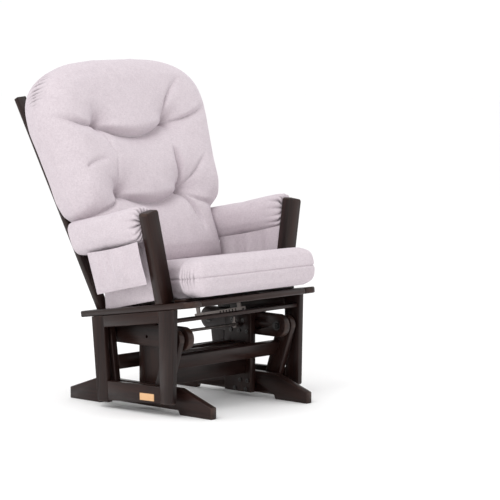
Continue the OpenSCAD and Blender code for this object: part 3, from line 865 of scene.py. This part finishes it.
def makeArmPad(side, look):
    name = "left" if side > 0 else "right"
    node = "arm_pad_" + name
    place = Place(node, look["lean"], side * look["yaw"])
    middle = (place.low + place.high) / 2
    tall = (place.high[2] - place.low[2]) / 2
    frontSlope = tan(radians(look["frontLean"]))
    rearSlope = tan(radians(look["rearLean"]))
    front = place.low[1] - frontSlope * tall - middle[1]
    rear = place.high[1] - rearSlope * tall - middle[1] + look["rearwards"]
    stations, around = 46, 64
    verts, faces = [], []
    for i in range(stations):
        s = i / (stations - 1)
        s = 0.5 - 0.5 * cos(pi * s)
        fromEnd = min(s, 1 - s) * (rear - front)
        inset = 1 - np.clip(fromEnd / look["endRound"], 0, 1)
        shrink = look["endRound"] * (1 - np.sqrt(max(1 - inset**2, 0)))
        for j in range(around):
            angle = 2 * pi * j / around
            c, d = cos(angle), sin(angle)
            power = 2 / look["power"]
            x = (look["halfWidth"] - shrink) * abs(c) ** power * (1 if c > 0 else -1)
            z = (look["halfHeight"] - shrink) * abs(d) ** power * (1 if d > 0 else -1)
            low = front + frontSlope * z
            high = rear + rearSlope * z
            verts.append((x, low + (high - low) * s, z))
        if i:
            for j in range(around):
                k = (j + 1) % around
                a, b = (i - 1) * around + j, (i - 1) * around + k
                faces.append((a, b, b + around, a + around))
    faces.append(tuple(range(around))[::-1])
    faces.append(tuple(range((stations - 1) * around, stations * around)))
    mesh = bpy.data.meshes.new("armPad")
    mesh.from_pydata(verts, [], faces)
    bm = bmesh.new()
    bm.from_mesh(mesh)
    bmesh.ops.recalc_face_normals(bm, faces=bm.faces)
    bm.to_mesh(mesh)
    bm.free()
    piece = addPiece(node + "_cover", mesh, lavender)
    remesh(piece, look["voxel"])
    inflate(piece, look["pressure"], look["cap"], look["smoothing"])
    subdivide(piece)
    mesh = piece.data
    points = pointsOf(mesh)
    # elastic gathers where the sleeve's front end is drawn in behind the arm post
    fromFront = points[:, 1] - (front + frontSlope * points[:, 2])
    angle = np.arctan2(points[:, 2] * look["halfWidth"], points[:, 0] * look["halfHeight"])
    turns = look["gathers"] / 2 * angle + 0.4 * np.sin(3 * angle + side) + 6 * fromFront
    crease = (1 - np.abs(np.sin(turns))) ** 1.3
    uneven = 0.7 + 0.3 * np.sin(5 * angle + 1.3 * side)
    fade = np.exp(-((np.maximum(fromFront, 0) / look["gatherReach"]) ** 1.5))
    drawn = look["gatherDepth"] * fade * (0.15 + uneven * crease)
    points = points - normalsOf(mesh) * drawn[:, None]
    points = place.world(points + middle)
    post = Place("arm_post_" + name, look["postLean"])
    points = keepBeyond(points, post, 1, "high", 0.001, 1)
    movePoints(mesh, place.local(points))
    # the creases' mask is stored to darken the cloth there as painted shade
    return finishSoft(piece, place, node, crease * uneven * fade)


for side in (-1, 1):
    makeArmPad(side, armLook)
print("arm pads made")


pocketLook = {
    "lean": 12.2,
    "yaw": 6.2,
    "outer": {
        "hang": 14.7, "sag": 0.004, "longer": 0, "rearLean": 9,
        "folds": 0.0055, "waves": 2.6, "belly": 0.008, "phase": 0.6,
    },
    "inner": {
        "hang": 4.0, "sag": 0.003, "longer": 0.060, "rearLean": 12,
        "folds": 0.0045, "waves": 2.9, "belly": 0.004, "phase": 2.1,
    },
    # how far each panel reaches up behind the pad; the inner one hangs longer
    "tuckedIn": 0.012,
    "thickness": 0.0022,
    "hem": 0.013,
    "stitchLine": 0.010,
    "columns": 92,
    "rows": 44,
}


def makePocket(side, layer, look):
    # One cloth panel, hung from under the pad: s runs along the arm and d down the drop
    shape = look[layer]
    name = "left" if side > 0 else "right"
    node = "pocket_" + layer + "_" + name
    turn = Place(node, look["lean"], side * look["yaw"])
    hang = Matrix.Rotation(side * radians(shape["hang"]), 3, "Y")
    turn.turn = turn.turn @ np.array(hang)
    points = pointsOf(nodes[node].data) @ turn.turn
    low, high = points.min(0), points.max(0)
    x = (low[0] + high[0]) / 2
    length = high[1] - low[1]
    high[2] += look["tuckedIn"]
    low[2] -= shape["longer"]
    drop = high[2] - low[2]
    frontSlope = tan(radians(armLook["frontLean"]))
    rearSlope = tan(radians(shape["rearLean"]))
    columns, rows = look["columns"], look["rows"]
    verts, spots, faces = [], [], []
    for i in range(rows + 1):
        d = i / rows
        for j in range(columns + 1):
            s = j / columns
            fold = sin(2 * pi * shape["waves"] * s + shape["phase"] + 0.9 * sin(4 * s + shape["phase"]))
            fold += 0.4 * sin(2 * pi * 2.3 * shape["waves"] * s + 1.7)
            loose = sin(pi * min(1, d * 1.15)) * (0.35 + 0.65 * sin(pi * s))
            out = shape["folds"] * fold * loose + shape["belly"] * sin(pi * s) * sin(pi * d)
            sag = shape["sag"] * sin(pi * s) * (1 - d)
            y = low[1] + length * s + drop * d * (rearSlope * s - frontSlope * (1 - s))
            verts.append((x + side * out, y, high[2] - sag - (drop - sag) * d))
            spots.append((length * s, -drop * d))
        if i:
            for j in range(columns):
                a = (i - 1) * (columns + 1) + j
                faces.append((a, a + 1, a + columns + 2, a + columns + 1))
    mesh = bpy.data.meshes.new("pocketPanel")
    mesh.from_pydata(verts, [], faces)
    uv = mesh.uv_layers.new(name="weave")
    for loop in mesh.loops:
        uv.data[loop.index].uv = spots[loop.vertex_index]
    thick = [1.0 if -b > drop - look["hem"] else 0.72 for a, b in spots]
    if layer == "outer":
        seamDrop = drop - look["stitchLine"]
        stitchRow = [i for i, (a, b) in enumerate(spots) if abs(-b - seamDrop) < drop / rows / 2]
        outside = np.array([side * look["thickness"] * 0.62, 0, 0])
        hemLines.append(turn.world(np.array(verts)[stitchRow] + outside))
    piece = addPiece(node + "_cloth", mesh, lavender)
    group = piece.vertex_groups.new(name="thick")
    for i, value in enumerate(thick):
        group.add([i], value, "REPLACE")
    solid = piece.modifiers.new("cloth", "SOLIDIFY")
    solid.thickness = look["thickness"]
    solid.offset = 0
    solid.vertex_group = "thick"
    plainMesh(piece)
    subdivide(piece)
    mesh = piece.data
    movePoints(mesh, turn.world(pointsOf(mesh)))
    mesh.shade_smooth()
    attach(piece, bodyOf[node])
    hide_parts(node)
    return piece


hemLines = []
for side in (-1, 1):
    for layer in ("outer", "inner"):
        makePocket(side, layer, pocketLook)
print("pockets made")

stitchLook = {
    "pitch": 0.0042,
    "length": 0.0030,
    "radius": 0.00042,
}


def stitchTree(look):
    # A stitch at each step along the lines, laid lengthwise
    tree = bpy.data.node_groups.new("stitches", "GeometryNodeTree")
    face = tree.interface
    face.new_socket("Lines", in_out="INPUT", socket_type="NodeSocketGeometry")
    for name in ("Pitch", "Length", "Radius"):
        face.new_socket(name, in_out="INPUT", socket_type="NodeSocketFloat")
    face.new_socket("Thread", in_out="INPUT", socket_type="NodeSocketMaterial")
    face.new_socket("Stitches", in_out="OUTPUT", socket_type="NodeSocketGeometry")
    add = tree.nodes.new
    given = add("NodeGroupInput")
    made = add("NodeGroupOutput")
    curves = add("GeometryNodeMeshToCurve")
    steps = add("GeometryNodeCurveToPoints")
    steps.mode = "LENGTH"
    stitch = add("GeometryNodeMeshCylinder")
    stitch.inputs["Vertices"].default_value = 6
    place = add("GeometryNodeInstanceOnPoints")
    solid = add("GeometryNodeRealizeInstances")
    dye = add("GeometryNodeSetMaterial")
    for output, socket in (
        (given.outputs["Lines"], curves.inputs[0]),
        (curves.outputs[0], steps.inputs["Curve"]),
        (given.outputs["Pitch"], steps.inputs["Length"]),
        (given.outputs["Length"], stitch.inputs["Depth"]),
        (given.outputs["Radius"], stitch.inputs["Radius"]),
        (steps.outputs["Points"], place.inputs["Points"]),
        (steps.outputs["Rotation"], place.inputs["Rotation"]),
        (stitch.outputs["Mesh"], place.inputs["Instance"]),
        (place.outputs[0], solid.inputs[0]),
        (solid.outputs[0], dye.inputs["Geometry"]),
        (given.outputs["Thread"], dye.inputs["Material"]),
        (dye.outputs[0], made.inputs[0]),
    ):
        tree.links.new(output, socket)
    return tree


def makeStitches(lines, look):
    mesh = bpy.data.meshes.new("hemStitches")
    edges = []
    start = 0
    for line in lines:
        edges += [(i, i + 1) for i in range(start, start + len(line) - 1)]
        start += len(line)
    mesh.from_pydata(np.concatenate(lines).tolist(), edges, [])
    piece = addPiece("hem_stitches", mesh, threadDye)
    tree = stitchTree(look)
    sewn = piece.modifiers.new("stitches", "NODES")
    sewn.node_group = tree
    values = {"Pitch": look["pitch"], "Length": look["length"], "Radius": look["radius"], "Thread": threadDye}
    for item in tree.interface.items_tree:
        if item.in_out == "INPUT" and item.name in values:
            sewn[item.identifier] = values[item.name]
    plainMesh(piece)
    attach(piece, "carriage")


makeStitches(hemLines, stitchLook)
print("hem stitches sewn")
